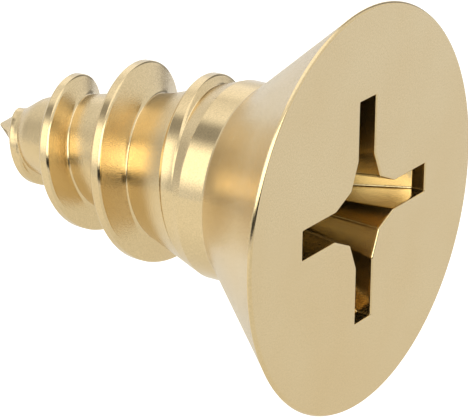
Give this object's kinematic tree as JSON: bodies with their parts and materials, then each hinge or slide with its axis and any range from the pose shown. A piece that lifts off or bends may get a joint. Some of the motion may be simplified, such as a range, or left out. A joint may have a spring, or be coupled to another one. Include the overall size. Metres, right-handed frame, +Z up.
{
  "type": "wood screw",
  "caption": "Short countersunk wood screw with a flat cross-recessed head, plain neck and tapered right-hand thread running to a sharp point.",
  "frame": {"origin": "centre of the flat face of the head", "axes": "-Y is the outward normal of the head's flat face and +Y runs along the screw's axis to the point; one pair of recess arms runs along Z and the other along X; +Z is up in the main view"},
  "size_m": [0.0058, 0.0062, 0.0058],
  "materials": {
    "brass": "bright, lightly satin bare brass"
  },
  "bodies": {
    "root": {"screw": "brass"}
  },
  "joints": []
}
